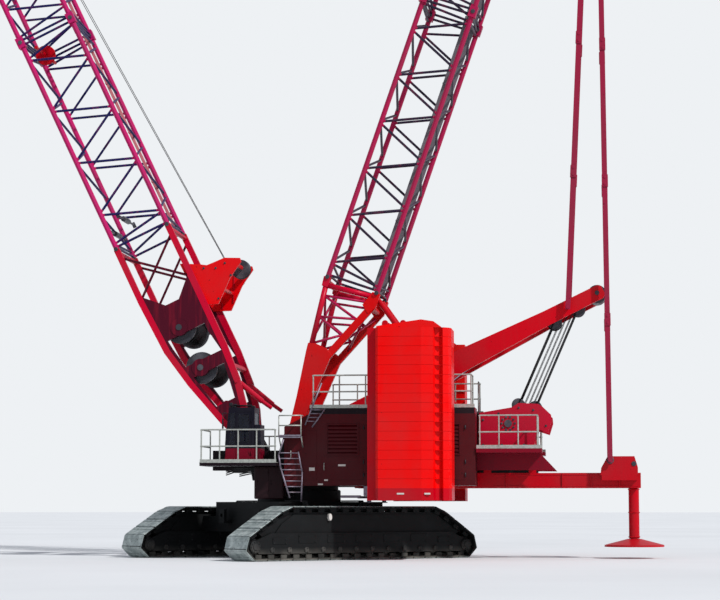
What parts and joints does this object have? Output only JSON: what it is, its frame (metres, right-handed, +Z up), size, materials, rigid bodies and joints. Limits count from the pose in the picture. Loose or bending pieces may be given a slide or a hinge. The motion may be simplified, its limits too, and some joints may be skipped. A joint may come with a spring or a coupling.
{
  "type": "crawler crane, 1:2 scale model",
  "caption": "Lattice-boom crawler crane with fixed rear mast, live mast, slabs of counterweight on both sides and a rear beam on a post with a round pad.",
  "frame": {"origin": "on the ground under the slewing axis", "axes": "+X horizontal towards the boom, +Y to the operator's left, +Z up"},
  "size_m": [17.0556, 5.7766, 22.0269],
  "materials": {
    "red_paint": "gloss",
    "dark_red_paint": "satin",
    "black_steel": "matt",
    "dark_steel": "satin",
    "grey_steel": "satin",
    "rope": "matt",
    "dark_glass": "gloss"
  },
  "bodies": {
    "undercarriage": {"carbody": "dark_red_paint", "frame_left": "black_steel", "frame_right": "black_steel", "track_left": "black_steel", "track_right": "black_steel", "track_wheels": "dark_steel"},
    "upper": {"rotating_bed": "dark_red_paint", "bed_plates": "dark_steel", "houses": "dark_red_paint", "engine_block": "black_steel", "decks": "dark_red_paint", "handrails": "grey_steel", "cab_shell": "red_paint", "cab_glass": "dark_glass", "cab_fittings": "black_steel", "foot_pins": "grey_steel", "mast_butt": "red_paint", "mast_inserts": "dark_red_paint", "mast_head": "dark_red_paint", "mast_straps": "grey_steel", "mast_stops": "dark_red_paint", "live_mast": "dark_red_paint", "backstays": "grey_steel", "rear_horn": "red_paint", "rear_beam": "dark_red_paint", "rear_post": "dark_red_paint"},
    "cab_door": {"cab_door": "red_paint", "door_glass": "dark_glass"},
    "mast_sheaves": {"mast_sheaves": "grey_steel"},
    "live_sheaves": {"live_sheaves": "grey_steel"},
    "rear_winch": {"rear_winch": "dark_steel"},
    "counterweight": {"cw_trays": "dark_red_paint", "cw_crossbeam": "dark_red_paint", "cw_stack_left": "red_paint", "cw_stack_right": "red_paint"},
    "boom": {"boom_butt": "dark_red_paint", "boom_inserts": "dark_red_paint", "boom_top": "dark_red_paint", "boom_straps": "grey_steel", "boom_horn": "red_paint", "boom_stops": "dark_red_paint", "head_pins": "grey_steel"},
    "lower_drum": {"lower_drum": "dark_steel"},
    "upper_drum": {"upper_drum": "dark_steel"},
    "head_sheaves": {"head_sheaves": "grey_steel"},
    "stay_lines": {"stay_ropes": "rope"},
    "stay_bars": {"stay_straps": "grey_steel"},
    "hoist_lines": {"nose_sheaves": "grey_steel", "hoist_ropes": "rope"},
    "hook_block": {"hook_block": "red_paint"},
    "hook": {"hook": "grey_steel"}
  },
  "joints": [
    {"name": "swing", "type": "hinge", "parent": "undercarriage", "child": "upper", "pos_m": [0, 0, 1.18], "axis": [0, 0, 1], "continuous": true},
    {"name": "boom_luff", "type": "hinge", "parent": "upper", "child": "boom", "pos_m": [0.815, 0, 1.935], "axis": [0, -1, 0], "range_deg": [-30, 15]},
    {"name": "counterweight_travel", "type": "slide", "parent": "upper", "child": "counterweight", "axis": [1, 0, 0], "range_m": [-0.45, 0.25]},
    {"name": "cab_door_hinge", "type": "hinge", "parent": "upper", "child": "cab_door", "pos_m": [0.586, 1.247, 1.96], "axis": [0, 0, 1], "range_deg": [0, 100]},
    {"name": "mast_sheaves_spin", "type": "hinge", "parent": "upper", "child": "mast_sheaves", "pos_m": [-4.66378, 0, 15.16238], "axis": [0, 1, 0], "continuous": true},
    {"name": "live_sheaves_spin", "type": "hinge", "parent": "upper", "child": "live_sheaves", "pos_m": [-4.881, 0, 4.24], "axis": [0, 1, 0], "continuous": true},
    {"name": "rear_winch_spin", "type": "hinge", "parent": "upper", "child": "rear_winch", "pos_m": [-3.45, 0, 2.14], "axis": [0, 1, 0], "continuous": true},
    {"name": "lower_drum_spin", "type": "hinge", "parent": "boom", "child": "lower_drum", "pos_m": [1.52495, 0, 3.06962], "axis": [0, 1, 0], "continuous": true},
    {"name": "upper_drum_spin", "type": "hinge", "parent": "boom", "child": "upper_drum", "pos_m": [1.88509, 0, 3.72871], "axis": [0, 1, 0], "continuous": true},
    {"name": "head_sheaves_spin", "type": "hinge", "parent": "boom", "child": "head_sheaves", "pos_m": [10.4264, 0, 21.72476], "axis": [0, 1, 0], "continuous": true},
    {"name": "stay_swing", "type": "hinge", "parent": "upper", "child": "stay_lines", "pos_m": [-4.39948, 0, 14.9784], "axis": [0, -1, 0], "range_deg": [-30, 16]},
    {"name": "stay_haul", "type": "slide", "parent": "stay_lines", "child": "stay_bars", "axis": [0.9032, 0, 0.4292], "range_m": [-3.66, 7.28]},
    {"name": "hoist_swing", "type": "hinge", "parent": "boom", "child": "hoist_lines", "pos_m": [10.77962, 0, 21.46682], "axis": [0, -1, 0], "range_deg": [-15, 30]},
    {"name": "hook_hoist", "type": "slide", "parent": "hoist_lines", "child": "hook_block", "axis": [0, 0, 1], "range_m": [-8.5, 3], "deforming": ["hoist_ropes"]},
    {"name": "hook_swivel", "type": "hinge", "parent": "hook_block", "child": "hook", "pos_m": [10.90962, 0, 17.14], "axis": [0, 0, 1], "continuous": true}
  ],
  "couplings": [
    {"joint": "stay_swing", "follows": "boom_luff", "ratio": 0.95},
    {"joint": "stay_haul", "follows": "boom_luff", "m_per_rad": -13.8},
    {"joint": "hoist_swing", "follows": "boom_luff", "ratio": -1}
  ]
}
